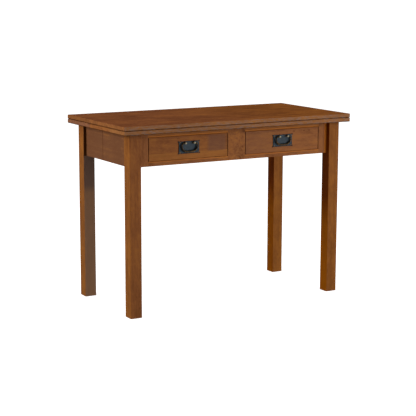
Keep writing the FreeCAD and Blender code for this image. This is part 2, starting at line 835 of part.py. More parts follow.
def write_middle_slides():
    pin = stop_pin(middle_inner_x, middle_pin_y)
    write("left_middle_slide", mirrored_x(middle_slide()))
    write("left_middle_pin", mirrored_x(pin))
    write("right_middle_slide", middle_slide())
    write("right_middle_pin", pin)


def write_drawers():
    pieces = {
        "drawer_front": [drawer_front()],
        "drawer_sides": drawer_sides(),
        "drawer_back": [drawer_back()],
        "drawer_bottom": [bottom_board()],
        "drawer_stop": [drawer_stop()],
        "pull_plate": [pull_plate()],
        "pull_posts": [post(-1), post(1)],
        "pull_bail": [bail()],
    }
    for name, solids in pieces.items():
        write("right_" + name, solids)
        write("left_" + name, [mirrored_x(solid) for solid in solids])


def main():
    os.makedirs("parts", exist_ok=True)
    write_front_frame()
    write_top()
    write_rear_frame()
    write_middle_slides()
    write_drawers()


main()
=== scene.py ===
import math

import bmesh
import bpy
from mathutils import Matrix, Vector


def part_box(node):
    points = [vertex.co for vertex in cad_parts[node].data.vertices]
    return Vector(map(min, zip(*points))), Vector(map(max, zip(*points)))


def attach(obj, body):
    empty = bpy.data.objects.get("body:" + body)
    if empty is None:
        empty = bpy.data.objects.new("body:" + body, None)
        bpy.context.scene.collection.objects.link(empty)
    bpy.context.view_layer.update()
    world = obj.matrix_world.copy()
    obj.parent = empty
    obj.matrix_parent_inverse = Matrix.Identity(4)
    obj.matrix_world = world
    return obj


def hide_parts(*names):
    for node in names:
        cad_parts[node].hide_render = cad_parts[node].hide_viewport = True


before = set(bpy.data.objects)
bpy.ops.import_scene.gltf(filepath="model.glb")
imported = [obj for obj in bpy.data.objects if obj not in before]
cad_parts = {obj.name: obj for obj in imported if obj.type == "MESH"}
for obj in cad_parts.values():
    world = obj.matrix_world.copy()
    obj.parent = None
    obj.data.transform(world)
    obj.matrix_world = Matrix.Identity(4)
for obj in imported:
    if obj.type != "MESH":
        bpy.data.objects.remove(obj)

bl_info = {
    "name": "Extending Console Table",
    "version": (1, 0, 0),
    "blender": (4, 5, 0),
    "location": "View3D > Sidebar > Console Table",
    "description": "Finishes, fittings and studio for an extending console table with drawers",
    "category": "Object",
}

X, Y, Z = 0, 1, 2
LEFT, RIGHT = (-1, 0, 0), (1, 0, 0)
FRONT, BACK = (0, -1, 0), (0, 1, 0)
DOWN, UP = (0, 0, -1), (0, 0, 1)
SIDES = ("left", "right")
MERGE_DISTANCE = 1e-6


# Shader building
def both_ways(operation):
    """Two methods that add a Math node, one with the value first and one with the value second."""
    def forward(self, other):
        return self.finish.math(operation, self, other)

    def reflected(self, other):
        return self.finish.math(operation, other, self)

    return forward, reflected


class Amount:
    """A value that changes over a surface. Arithmetic on it adds Math nodes."""

    def __init__(self, finish, socket):
        self.finish = finish
        self.socket = socket

    __add__, __radd__ = both_ways("ADD")
    __sub__, __rsub__ = both_ways("SUBTRACT")
    __mul__, __rmul__ = both_ways("MULTIPLY")
    __truediv__, __rtruediv__ = both_ways("DIVIDE")
    __pow__, __rpow__ = both_ways("POWER")


class Finish:
    """A material under construction, with one Principled shader."""

    def __init__(self, name, **constants):
        self.material = bpy.data.materials.new(name)
        self.material.use_nodes = True
        self.tree = self.material.node_tree
        self.tree.nodes.clear()
        output = self.tree.nodes.new("ShaderNodeOutputMaterial")
        self.shader = self.tree.nodes.new("ShaderNodeBsdfPrincipled")
        self.tree.links.new(self.shader.outputs[0], output.inputs[0])
        for name, value in constants.items():
            self.set(name.replace("_", " "), value)

    def set(self, name, value):
        """Give one of the shader's sockets a constant or something that changes over the surface."""
        self.fill(self.shader.inputs[name], value)

    def fill(self, socket, value):
        """Link a socket or give it a constant, where a colour's three numbers get full opacity."""
        if isinstance(value, Amount):
            self.tree.links.new(value.socket, socket)
        elif hasattr(value, "__len__") and len(value) == 3 and len(socket.default_value) == 4:
            socket.default_value = (*value, 1)
        else:
            socket.default_value = value

    def node(self, kind, settings=None, sockets=None, output=0):
        """Add a node of one type, with its settings first and then its sockets' values or links."""
        made = self.tree.nodes.new(kind)
        for name, value in (settings or {}).items():
            if name == "stops":
                self.set_stops(made.color_ramp, value)
            else:
                setattr(made, name, value)
        for name, value in (sockets or {}).items():
            self.fill(made.inputs[name], value)
        return Amount(self, made.outputs[output])

    def set_stops(self, ramp, stops):
        while len(ramp.elements) < len(stops):
            ramp.elements.new(1)
        for element, (position, shade) in zip(ramp.elements, stops):
            element.position = position
            element.color = (*shade, 1) if hasattr(shade, "__len__") else (shade, shade, shade, 1)

    def math(self, operation, *values):
        return self.node("ShaderNodeMath", {"operation": operation}, dict(enumerate(values)))

    def vector_math(self, operation, first, second, output="Vector"):
        return self.node("ShaderNodeVectorMath", {"operation": operation}, {0: first, 1: second}, output)

    def place(self):
        return self.node("ShaderNodeTexCoord", output="Object")

    def axis(self, vector, index):
        return self.node("ShaderNodeSeparateXYZ", sockets={0: vector}, output=index)

    def facing(self, direction):
        """How squarely a surface point of the piece faces a direction, from -1 to 1, at any pose."""
        normal = self.node("ShaderNodeTexCoord", output="Normal")
        return self.vector_math("DOT_PRODUCT", normal, direction, "Value")

    def fade(self, value, none, full):
        """0 where a value is at the first limit, rising to 1 where it is at the second."""
        sockets = {"Value": value, "From Min": none, "From Max": full, "To Min": 0.0, "To Max": 1.0}
        return self.node("ShaderNodeMapRange", {"clamp": True}, sockets)

    def noise(self, vector, scale, detail, roughness=0.5, output="Fac"):
        sockets = {"Vector": vector, "Scale": scale, "Detail": detail, "Roughness": roughness}
        return self.node("ShaderNodeTexNoise", sockets=sockets, output=output)

    def grained(self, place, grain, across, along, detail, roughness=0.5, output="Fac"):
        """Noise that is stretched along the grain: across and along are its repeats per metre."""
        repeats = [across, across, across]
        repeats[grain] = along
        return self.noise(self.vector_math("MULTIPLY", place, repeats), 1, detail, roughness, output)

    def ramp(self, amount, *stops):
        return self.node("ShaderNodeValToRGB", {"stops": stops}, {"Fac": amount}, "Color")

    def mixed(self, share, first, second, blend="MIX"):
        """Mix two colours, where a share of 0 is all the first."""
        settings = {"data_type": "RGBA", "blend_type": blend}
        return self.node("ShaderNodeMix", settings, {0: share, 6: first, 7: second}, 2)

    def bump(self, height, strength, depth):
        sockets = {"Height": height, "Strength": strength, "Distance": depth}
        self.set("Normal", self.node("ShaderNodeBump", sockets=sockets))


def growth_lines(finish, place, grain, sway, swing, growth, count):
    """Let the grain sway and draw its growth rings.

    Sway and growth are repeats across and along the grain. Swing is how far it sways, and the count sets how
    close the rings lie.
    """
    drift = finish.grained(place, grain, *sway, 2, output="Color")
    swayed = finish.vector_math("ADD", place, finish.vector_math("MULTIPLY", drift, (swing, swing, swing)))
    rings = finish.math("SINE", finish.grained(swayed, grain, *growth, 1.5, 0.4) * count) * 0.5 + 0.5
    return swayed, rings


def glued_boards(finish, place, line_width, across, width, start):
    """Break the grain at the glue lines between boards and give each board its own chance value."""
    board = (finish.axis(place, across) - start) / width
    chance = finish.node("ShaderNodeTexWhiteNoise", {"noise_dimensions": "1D"},
                         {"W": finish.math("FLOOR", board)}, "Value")
    farthest = (7.3, 3.9, 5.1)
    jump = finish.node("ShaderNodeCombineXYZ", sockets={axis: chance * farthest[axis] for axis in (X, Y, Z)})
    line = finish.math("LESS_THAN", finish.math("PINGPONG", board, 0.5) * width, line_width / 2)
    return finish.vector_math("ADD", place, jump), chance, line


def painted(direction, colour, share, *zones):
    """A tint that mixes a colour into the faces that look in a direction, or only into zones of them.

    A zone is an axis, two places along it, and the blur beyond them.
    """
    return direction, colour, share, "MIX", zones


def glazed(direction, colour, *zones):
    """A tint that multiplies the colour of such faces by another."""
    return direction, colour, 1.0, "MULTIPLY", zones


def tinted(finish, place, base, direction, colour, share, blend, zones):
    """Lay one tint over the base colour."""
    share = finish.math("MAXIMUM", finish.facing(direction), 0.0) * share
    for axis, low, high, blur in zones:
        half = (high - low) / 2
        away = finish.math("ABSOLUTE", finish.axis(place, axis) - (low + high) / 2)
        share = share * finish.fade(away, half + blur, half)
    return finish.mixed(share, base, colour, blend)


def near_edge(finish, width):
    """How near a surface point is to an outer edge, from 0 on the flat."""
    rounded = finish.node("ShaderNodeBevel", {"samples": 4}, {"Radius": width})
    normal = finish.node("ShaderNodeNewGeometry", output="Normal")
    return finish.fade(finish.vector_math("DOT_PRODUCT", rounded, normal, "Value"), 0.998, 0.9)


def stained_wood(name, grain, looks, stain, chance_place, boards=None, board_contrast=0.0, figure=1.0,
                 sheened=False, wear=0.45, tints=()):
    """Hardwood under a reddish-brown stain and a satin lacquer, with its grain along one axis.

    The chance place shifts the grain, so that pieces differ. Boards are the axis across them, their width and
    the place of a glue line. The figure is the strength of the streaks and blotches, and the wear that of the
    dark stain along the arrises. Tints are made by painted() and glazed().
    """
    finish = Finish(name, Coat_Weight=looks.lacquer, Coat_Roughness=0.2, Specular_IOR_Level=0.0)
    here = finish.place()
    place = finish.vector_math("ADD", here, chance_place)
    tone = 0.5
    if boards:
        place, chance, line = glued_boards(finish, place, looks.glue_line, *boards)
        tone = (chance - 0.5) * board_contrast + 0.5
    swayed, rings = growth_lines(finish, place, grain, (5, 1.3), 0.035, (13, 0.9), 74)
    streaks = finish.grained(swayed, grain, 95, 2.6, 3, 0.65)
    fibres = finish.grained(place, grain, 900, 22, 2, 0.7)
    pits = finish.ramp(finish.grained(place, grain, 620, 34, 1), (0.62, 0.0), (0.74, 1.0))
    blotches = finish.grained(place, grain, 15, 7, 3, 0.62)
    flecks = finish.grained(place, grain, 60, 26, 2, 0.6)
    mottle = finish.grained(place, grain, 170, 75, 2, 0.6)
    marks = ((rings, 0.10), (streaks, 0.45), (blotches, 0.85), (flecks, 0.42), (mottle, 0.42), (fibres, 0.20))
    usual = sum(weight for mark, weight in marks) / 2
    tone = (sum(mark * weight for mark, weight in marks) - usual) * figure + tone
    colour = finish.ramp(tone, (0.05, looks.dark_stain), (0.5, stain), (0.98, looks.light_stain))
    colour = finish.mixed(pits * 0.35, colour, looks.dark_stain)
    if boards:
        colour = finish.mixed(line * 0.6, colour, looks.dark_stain)
    ends = finish.facing([float(axis == grain) for axis in (X, Y, Z)])
    colour = finish.mixed(ends * ends * 0.35, colour, looks.end_grain, "MULTIPLY")
    for tint in tints:
        colour = tinted(finish, here, colour, *tint)
    # Painted sheen: grey patches on the front faces, where light reflects off the lacquer
    if sheened:
        patches = finish.ramp(finish.grained(here, grain, 300, 52, 3, 0.6), (0.46, 0.0), (0.60, 1.0))
        painted_sheen = painted(FRONT, looks.grey_sheen, patches * looks.sheen_share)
        colour = tinted(finish, here, colour, *painted_sheen)
    colour = finish.mixed(near_edge(finish, looks.edge_width) * wear, colour, looks.edge_stain_and_shade)
    finish.set("Base Color", colour)
    finish.set("Roughness", 0.46 + (streaks - 0.5) * 0.22 + pits * 0.1)
    finish.bump(fibres * 0.35 - pits * 0.5 + rings * 0.12, strength=0.10, depth=0.0006)
    return finish.material


def plain_wood(name, grain, colour, shade):
    """Sanded wood of the hidden pieces, with a thin clear seal."""
    finish = Finish(name, Coat_Weight=0.08, Coat_Roughness=0.35)
    place = finish.place()
    swayed, rings = growth_lines(finish, place, grain, (6, 1.5), 0.03, (18, 1.0), 90)
    streaks = finish.grained(swayed, grain, 120, 4, 3, 0.65)
    fibres = finish.grained(place, grain, 900, 26, 2, 0.7)
    tone = rings * 0.3 + streaks * 0.5 + (fibres - 0.5) * 0.5 + 0.1
    finish.set("Base Color", finish.ramp(tone, (0.15, shade), (0.75, colour)))
    finish.set("Roughness", 0.58 + (fibres - 0.5) * 0.2)
    finish.bump(fibres + rings * 0.3, strength=0.14, depth=0.0006)
    return finish.material


def plywood(name, colour, shade):
    """Thin board with its face veneer's grain from side to side and faint rays across it."""
    finish = Finish(name, Coat_Weight=0.05, Coat_Roughness=0.4)
    place = finish.place()
    streaks = finish.grained(place, X, 70, 3, 3, 0.6)
    fibres = finish.grained(place, X, 800, 24, 2, 0.7)
    rays = finish.grained(place, Y, 160, 30, 2)
    tone = streaks * 0.6 + fibres * 0.25 + rays * 0.15
    finish.set("Base Color", finish.ramp(tone, (0.3, shade), (0.68, colour)))
    finish.set("Roughness", 0.6 + (fibres - 0.5) * 0.2)
    finish.bump(fibres, strength=0.12, depth=0.0005)
    return finish.material


def dark_iron(name, colour, sheen):
    """Hammered dark metal with a bluish sheen in clouds on its front, and near-black painted shade on its
    sides and along its rim.
    """
    finish = Finish(name, Specular_IOR_Level=0.0)
    place = finish.place()
    clouds = finish.noise(place, 130, 3, 0.6)
    grain = finish.noise(place, 1400, 2, 0.6)
    dents = finish.node("ShaderNodeTexVoronoi", {"feature": "SMOOTH_F1"},
                        {"Vector": place, "Scale": 260.0, "Smoothness": 0.9}, "Distance")
    # Only the flat front shows the metal; painted shade, near black, covers the sides and a rim along the
    # outline
    flat = finish.math("MAXIMUM", finish.facing(FRONT), 0.0) ** 6
    shown = flat * (1 - near_edge(finish, 0.003) * 0.9)
    edge_shade = (0.002, 0.002, 0.002)
    finish.set("Base Color", finish.mixed(shown, edge_shade, finish.mixed(clouds, colour, sheen)))
    finish.set("Metallic", 0.8 * shown)
    finish.set("Roughness", 0.62 + (clouds - 0.5) * 0.3 - shown * 0.18)
    finish.bump(dents * 0.8 + grain * 0.12, strength=0.28, depth=0.0008)
    return finish.material


def rubbed_bronze(name, dark, rubbed, brass=None, neck_y=0.0, head_y=0.0):
    """Near-black bronze rubbed to a warmer tone by hands; posts have brass heads in front of head_y."""
    finish = Finish(name, Metallic=1.0)
    place = finish.place()
    clouds = finish.noise(place, 240, 3, 0.6)
    scratches = finish.grained(place, X, 2600, 200, 2, 0.6)
    colour = finish.mixed(finish.ramp(clouds, (0.42, 0.0), (0.68, 1.0)), dark, rubbed)
    if brass:
        head = finish.fade(finish.axis(place, Y), neck_y, head_y)
        colour = finish.mixed(head * (0.7 + clouds * 0.3), colour, brass)
    finish.set("Base Color", colour)
    finish.set("Roughness", 0.22 + clouds * 0.14 + (scratches - 0.5) * 0.1)
    finish.bump(scratches * 0.4 + clouds, strength=0.1, depth=0.0004)
    return finish.material


def aged_brass(name, colour, tarnish):
    """Yellow metal with brown tarnish in patches and fine scratches."""
    finish = Finish(name, Metallic=1.0)
    place = finish.place()
    patches = finish.noise(place, 210, 3, 0.6)
    scratches = finish.grained(place, X, 3000, 160, 2, 0.6)
    finish.set("Base Color", finish.mixed(patches, tarnish, colour))
    finish.set("Roughness", 0.28 + patches * 0.2 + (scratches - 0.5) * 0.1)
    finish.bump(scratches, strength=0.08, depth=0.0003)
    return finish.material


def plain_steel(name, colour, shade):
    """Bright steel with fine drawing lines."""
    finish = Finish(name, Metallic=1.0)
    place = finish.place()
    lines = finish.grained(place, X, 2200, 90, 2, 0.6)
    stain = finish.noise(place, 120, 3, 0.6)
    finish.set("Base Color", finish.ramp(stain, (0.3, shade), (0.7, colour)))
    finish.set("Roughness", 0.26 + (lines - 0.5) * 0.2 + (stain - 0.5) * 0.1)
    finish.bump(lines, strength=0.06, depth=0.0003)
    return finish.material


def felt(name, colour, shade):
    """Pressed wool with short loose fibres."""
    finish = Finish(name, Sheen_Weight=0.5, Sheen_Roughness=0.5)
    place = finish.place()
    tufts = finish.noise(place, 1500, 4, 0.7)
    lumps = finish.noise(place, 260, 2)
    finish.set("Base Color", finish.mixed(tufts * 0.6 + lumps * 0.4, shade, colour))
    finish.set("Roughness", 0.85 + tufts * 0.15)
    finish.bump(tufts + lumps, strength=0.5, depth=0.0008)
    return finish.material


def nylon(name, colour, shade):
    """Moulded glides, scuffed under the feet."""
    finish = Finish(name)
    place = finish.place()
    scuffs = finish.grained(place, Y, 600, 80, 3, 0.6)
    finish.set("Base Color", finish.mixed(scuffs, shade, colour))
    finish.set("Roughness", 0.42 + scuffs * 0.25)
    finish.bump(scuffs, strength=0.12, depth=0.0004)
    return finish.material


# Making pieces
def put_in_order(items, place):
    """Sort corners or faces by place, because bmesh operators leave them in an order of chance."""
    ranks = {item: rank for rank, item in enumerate(sorted(items, key=place))}
    items.sort(key=ranks.get)


def new_object(name, shape, material):
    """Turn a finished bmesh into an object of the scene, the same one at every run."""
    put_in_order(shape.verts, lambda vert: vert.co[:])
    put_in_order(shape.faces, lambda face: face.calc_center_median()[:])
    mesh = bpy.data.meshes.new(name)
    shape.to_mesh(mesh)
    shape.free()
    mesh.materials.append(material)
    made = bpy.data.objects.new(name, mesh)
    bpy.context.scene.collection.objects.link(made)
    return made


def new_piece(name, shape, body, material, smooth=False):
    """Make a piece that rides on a body."""
    piece = new_object(name, shape, material)
    for face in piece.data.polygons:
        face.use_smooth = smooth
    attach(piece, body)
    return piece


def dress(material, *nodes):
    """Give CAD nodes a material."""
    for name in nodes:
        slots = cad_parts[name].data.materials
        slots.clear()
        slots.append(material)


def spun(outline, turn, steps=48):
    """Spin an outline of (radius, height) points round Z into a closed shape, then turn and place it."""
    shape = bmesh.new()
    verts = [shape.verts.new((radius, 0, height)) for radius, height in outline]
    edges = [shape.edges.new(pair) for pair in zip(verts, verts[1:])]
    bmesh.ops.spin(shape, geom=verts + edges, cent=(0, 0, 0), axis=(0, 0, 1), angle=2 * math.pi,
                   steps=steps, use_merge=True)
    bmesh.ops.remove_doubles(shape, verts=shape.verts, dist=MERGE_DISTANCE)
    bmesh.ops.recalc_face_normals(shape, faces=shape.faces)
    bmesh.ops.transform(shape, matrix=turn, verts=shape.verts)
    return shape


def dome(radius, base, rise, steps):
    """Outline points (radius, height) of a dome, from its rim up to its middle."""
    angles = [math.pi / 2 * step / steps for step in range(steps + 1)]
    return [(radius * math.cos(angle), base + rise * math.sin(angle)) for angle in angles]


def aimed(direction, point):
    """The matrix that turns +Z to a direction and moves the origin to a point."""
    return Matrix.Translation(point) @ Vector(direction).to_track_quat("Z", "Y").to_matrix().to_4x4()


def joined_shapes(shapes):
    """One bmesh that holds all the given ones."""
    whole = bmesh.new()
    for shape in shapes:
        part = bpy.data.meshes.new("part")
        shape.to_mesh(part)
        shape.free()
        whole.from_mesh(part)
        bpy.data.meshes.remove(part)
    return whole


def slotted_head(radius, slot, depth, turn, place):
    """A flat screw head with one slot across it, seen from +Z."""
    shape = bmesh.new()
    bmesh.ops.create_circle(shape, cap_ends=True, segments=28, radius=radius)
    for side in (-1, 1):
        bmesh.ops.bisect_plane(shape, geom=shape.verts[:] + shape.edges[:] + shape.faces[:],
                               plane_co=(0, side * slot / 2, 0), plane_no=(0, 1, 0))
    bottoms = [face for face in shape.faces if abs(face.calc_center_median().y) < slot / 4]
    pressed = bmesh.ops.extrude_face_region(shape, geom=bottoms)
    bmesh.ops.delete(shape, geom=bottoms, context="FACES")
    moved = [item for item in pressed["geom"] if isinstance(item, bmesh.types.BMVert)]
    bmesh.ops.translate(shape, verts=moved, vec=(0, 0, -depth))
    rim = [edge for edge in shape.edges if edge.is_boundary]
    skirt = bmesh.ops.extrude_edge_only(shape, edges=rim)
    lowered = [item for item in skirt["geom"] if isinstance(item, bmesh.types.BMVert)]
    bmesh.ops.translate(shape, verts=lowered, vec=(0, 0, -2 * depth))
    bmesh.ops.recalc_face_normals(shape, faces=shape.faces)
    bmesh.ops.transform(shape, matrix=place @ Matrix.Rotation(turn, 4, "Z"), verts=shape.verts)
    return shape


# Settings
def number_property(name, description, default, **kind):
    return bpy.props.FloatProperty(name=name, description=description, default=default, min=0, **kind)


def length_property(name, description, default):
    return number_property(name, description, default, unit="LENGTH")


def share_property(name, description, default):
    return number_property(name, description, default, subtype="FACTOR", max=1)


def angle_property(name, description, degrees):
    return bpy.props.FloatProperty(name=name, description=description, default=math.radians(degrees),
                                   subtype="ANGLE")


def place_property(name, description, default):
    return bpy.props.FloatVectorProperty(name=name, description=description, default=default, size=3,
                                         subtype="XYZ", unit="LENGTH")


def colour_property(name, description, default):
    return bpy.props.FloatVectorProperty(name=name, description=description, default=default, size=3,
                                         subtype="COLOR", min=0, max=1)


class WoodLooks(bpy.types.PropertyGroup):
    """Stains, tints and boards of the wood"""
    dark_stain: colour_property("Dark stain", "Colour of the darkest streaks", (0.094, 0.0300, 0.0095))
    middle_stain: colour_property("Middle stain", "Usual colour of the stained wood", (0.212, 0.0730, 0.0225))
    front_stain: colour_property("Front stain", "Usual colour of the right drawer front, stiles and rails",
                                 (0.238, 0.0870, 0.0300))
    # Browner wood, and darker partly as painted shade from the leaf's overhang
    apron_stain_and_shade: colour_property("Apron stain", "Usual colour of the side aprons, a little browner",
                                 (0.147, 0.0590, 0.0254))
    light_stain: colour_property("Light stain", "Colour of the lightest streaks", (0.350, 0.1320, 0.0290))
    # Real stain on arrises and knots, and also painted shade in joints and painted shadow lines along gaps
    # and edges
    edge_stain_and_shade: colour_property("Dark edge", "Stain gathered on arrises and in joints",
                               (0.045, 0.0130, 0.0030))
    end_grain: colour_property("End grain", "Tint that darkens board ends", (0.92, 0.90, 0.88))
    # Painted grey sheen in patches on the leaves' front edges, standing in for light reflected off the
    # lacquer
    grey_sheen: colour_property("Grey bloom", "Dulled lacquer on the leaves' edges", (0.18, 0.185, 0.195))
    sheen_share: share_property("Bloom share", "Strength of that bloom on the front edges", 0.27)
    # Painted golden light on those faces
    golden_light_tint: colour_property("Golden tint", "Tint of the left legs' outer and right legs' front faces",
                                 (1.0, 1.0, 0.74))
    # Painted shade on the right legs' inner faces, deepest near the top
    right_leg_shade: colour_property("Shaded stain", "Tint that deepens the right legs' inner faces",
                                  (1.0, 0.75, 0.07))
    inner_shade: colour_property("Inner shade", "Tint that deepens those faces further near the top",
                                 (0.58, 0.42, 0.40))
    # Painted grey shade and sheen on the rear left leg's front, with painted shade under and beside the apron
    grey_shade_and_sheen: colour_property("Greyed stain", "Greyer brown on the front of the rear left leg",
                                  (0.155, 0.0980, 0.0620))
    top_shade: colour_property("Top shade", "Tint of that face just under the apron", (0.66, 0.72, 0.92))
    recess_shade: colour_property("Recess shade", "Tint of that face beside the apron", (0.50, 0.30, 0.10))
    shade_start: length_property("Shade start", "Height from which the inner faces are fully shaded", 0.40)
    shade_blur: length_property("Shade blur", "Height over which that shade fades out", 0.12)
    # Painted light in tan on the leaves' front edges and left ends
    tan_edge_light: colour_property("End tan", "Lighter tone of the leaves' front edges and left ends",
                             (0.31, 0.136, 0.0430))
    # Painted light and shade on the tabletop's upper face alone: a little darker all over, darker at the left
    # and less blue at the right
    top_light_tint: colour_property("Top tint", "Tint of the tabletop", (1.0, 0.95, 0.90))
    top_left_shade: colour_property("Top left tint", "Tint of the tabletop's redder left", (0.884, 0.862, 1.0))
    top_right_light_tint: colour_property("Top right tint", "Tint of the tabletop's more golden right",
                                    (1.0, 0.97, 0.68))
    top_blur: length_property("Top blur", "Length over which those two tones fade out", 0.4)
    # Painted warm reflected light along the rails and beside the front right leg
    warm_light_strip: colour_property("Warm strip", "Orange stain along the rails and beside the front right leg",
                                (0.62, 0.180, 0.020))
    leg_light_strip: length_property("Strip at the leg", "Width of the orange stain beside the leg", 0.009)
    rail_light_strip: length_property("Strip on the rails", "Width of the orange stain along a rail", 0.004)
    lacquer: share_property("Lacquer", "Weight of the satin top coat", 0.02)
    edge_width: length_property("Edge width", "How far the darker stain reaches from an arris", 0.0016)
    front_wear: share_property("Front wear", "Strength of that stain on the drawer fronts, stiles and rails",
                               0.05)
    board_width: length_property("Board width", "Width of the boards glued up into a leaf", 0.170)
    board_start: length_property("First glue line", "From the lower leaf's front edge to its first glue line",
                                 0.132)
    glue_line: length_property("Glue line", "Width of the line between two boards", 0.0008)
    board_blur: length_property("Board blur", "How softly a board's own tone ends", 0.0005)
    mark_blur: length_property("Mark blur", "How softly small marks and strips of stain end", 0.001)
    # Painted shadow lines at the drawer fronts' ends and under the leaves, and painted shade along the
    # leaves' back edges
    end_shadow_line: length_property("End line", "Width of the dark line along a drawer front's ends", 0.0011)
    leaf_shadow_line: length_property("Leaf line", "Width of the dark line along a leaf's lower edge", 0.0021)
    far_shade_line: length_property("Far line", "Width of the darker stain along a leaf's back edge", 0.005)
    drawer_joint: share_property("Drawer joint", "Height of the left drawer front's glue line, as a share",
                                 0.30)
    block_stain: colour_property("Block stain", "Greyer brown of a block in the left drawer front and of the "
                                 "right one's left end", (0.136, 0.0650, 0.0415))
    block_length: length_property("Block length", "Length of the left drawer front's darker block", 0.064)
    block_end: length_property("Block end", "From the drawer front's right end to its block", 0.016)
    block_drop: length_property("Block drop", "From the drawer front's top to its block", 0.006)
    block_blur: length_property("Block blur", "How softly the block's ends fade", 0.014)
    block_top_blur: length_property("Block top blur", "How softly the block's top and bottom fade", 0.004)
    knots: bpy.props.FloatVectorProperty(
        name="Knots", description="Places of three small knots along the right drawer front, as shares of it",
        size=3, default=(0.66, 0.80, 0.87), min=0, max=1)
    knot_size: length_property("Knot size", "Length of a small knot", 0.005)
    knot_drop: length_property("Knot drop", "From the drawer front's top to its knots", 0.012)
    slide_wood: colour_property("Slide wood", "Colour of the slides, runners and kickers",
                                (0.46, 0.27, 0.125))
    slide_shade: colour_property("Slide wood shade", "Darker streaks of the slide wood", (0.30, 0.155, 0.062))
    drawer_wood: colour_property("Drawer wood", "Colour of the drawer boxes", (0.55, 0.36, 0.18))
    drawer_shade: colour_property("Drawer wood shade", "Darker streaks of the drawer boxes",
                                  (0.40, 0.235, 0.105))


class FittingLooks(bpy.types.PropertyGroup):
    """Colours of the metal, felt and nylon"""
    iron: colour_property("Dark metal", "Colour of the plates", (0.0080, 0.0098, 0.0113))
    iron_sheen: colour_property("Metal sheen", "Bluish tone of the plates' clouding",
                                (0.0250, 0.0330, 0.0400))
    bronze: colour_property("Dark bronze", "Darkest tone of the bails and posts", (0.005, 0.004, 0.003))
    bronze_rubbed: colour_property("Rubbed bronze", "Warmer tone where hands rub the bails",
                                   (0.060, 0.036, 0.016))
    nail_bronze: colour_property("Nail bronze", "Brighter bronze of the plates' nails", (0.13, 0.070, 0.028))
    head_brass: colour_property("Post heads", "Olive brass of the posts' heads", (0.135, 0.116, 0.080))
    brass: colour_property("Brass", "Colour of the hinges", (0.62, 0.43, 0.19))
    tarnish: colour_property("Tarnish", "Brown patches on the brass", (0.20, 0.12, 0.05))
    steel: colour_property("Steel", "Colour of the pins, screws and nuts", (0.58, 0.57, 0.56))
    steel_shade: colour_property("Steel shade", "Duller patches of the steel", (0.36, 0.35, 0.34))
    felt: colour_property("Felt", "Colour of the pads between the leaves", (0.10, 0.045, 0.022))
    felt_shade: colour_property("Felt shade", "Darker tufts of the pads", (0.045, 0.018, 0.009))
    nylon: colour_property("Nylon", "Colour of the glides", (0.16, 0.09, 0.05))
    nylon_shade: colour_property("Nylon shade", "Darker scuffs of the glides", (0.09, 0.05, 0.028))


class PullSizes(bpy.types.PropertyGroup):
    """Sizes of the drawer pulls"""
    flange_radius: length_property("Post flange radius", "Radius of a post's foot", 0.0052)
    flange_height: length_property("Post flange height", "Height of a post's foot", 0.0012)
    neck_radius: length_property("Post neck radius", "Radius of a post's neck", 0.0034)
    head_radius: length_property("Post head radius", "Radius of a post's domed head", 0.0047)
    head_height: length_property("Post head height", "Height of a post's domed head", 0.0034)
    head_chamfer: length_property("Post head chamfer", "Chamfer under a post's head", 0.0003)
    arm_radius: length_property("Bail arm radius", "Radius of a bail beside its posts", 0.0026)
    arm_overlap: length_property("Bail arm overlap", "How far a bail's arm reaches into a post's neck", 0.001)
    grip_radius: length_property("Bail grip radius", "Radius of a bail at the middle of its grip", 0.0041)
    shoulder_bend: length_property("Shoulder bend", "Radius of a bail's upper bends", 0.0108)
    bottom_bend: length_property("Bottom bend", "Width of each of a bail's lower bends", 0.024)
    nail_radius: length_property("Nail radius", "Radius of the plates' nail heads", 0.0027)
    nail_height: length_property("Nail height", "Height of the plates' nail heads", 0.0014)
    nail_sunk: length_property("Nail sunk", "How deep the nail heads' rims sit in the plates", 0.0003)
    nail_inset: length_property("Nail inset", "From a plate's sides to its nails", 0.0085)
    nail_drop: length_property("Nail drop", "From a plate's top and bottom to its nails", 0.0056)
    nut_radius: length_property("Nut radius", "Radius of the nuts inside the drawers", 0.0047)
    nut_height: length_property("Nut height", "Height of the nuts inside the drawers", 0.0030)
    nut_chamfer: length_property("Nut chamfer", "Chamfer of the nuts", 0.0005)


class ScrewSizes(bpy.types.PropertyGroup):
    """Sizes and places of the screws"""
    head_radius: length_property("Wood screw head", "Head radius of the kickers' screws", 0.0042)
    head_slot: length_property("Wood screw slot", "Depth of their slots", 0.0007)
    kicker_inset: length_property("Kicker inset", "From the outer kickers' far sides to their screws", 0.024)
    kicker_end: length_property("Kicker end", "From the kickers' ends to their screws", 0.03)
    hinge_head_radius: length_property("Hinge screw head", "Head radius of the hinges' screws", 0.0031)
    hinge_head_slot: length_property("Hinge screw slot", "Depth of their slots", 0.0006)
    hinge_width: length_property("Hinge width", "Width of a hinge plate", 0.028)
    hinge_spread: length_property("Hinge screw spread", "From a hinge plate's middle to its screws", 0.0072)
    hinge_first: length_property("First hinge screws", "From a hinge plate's front end to its first screws",
                                 0.01012)
    hinge_second: length_property("Second hinge screws", "From a hinge plate's front end to its next screws",
                                  0.02668)
    slot_width: length_property("Slot width", "Width of the screws' slots", 0.0009)
    proud: length_property("Stands out", "How far the heads stand out of the surface", 0.0002)


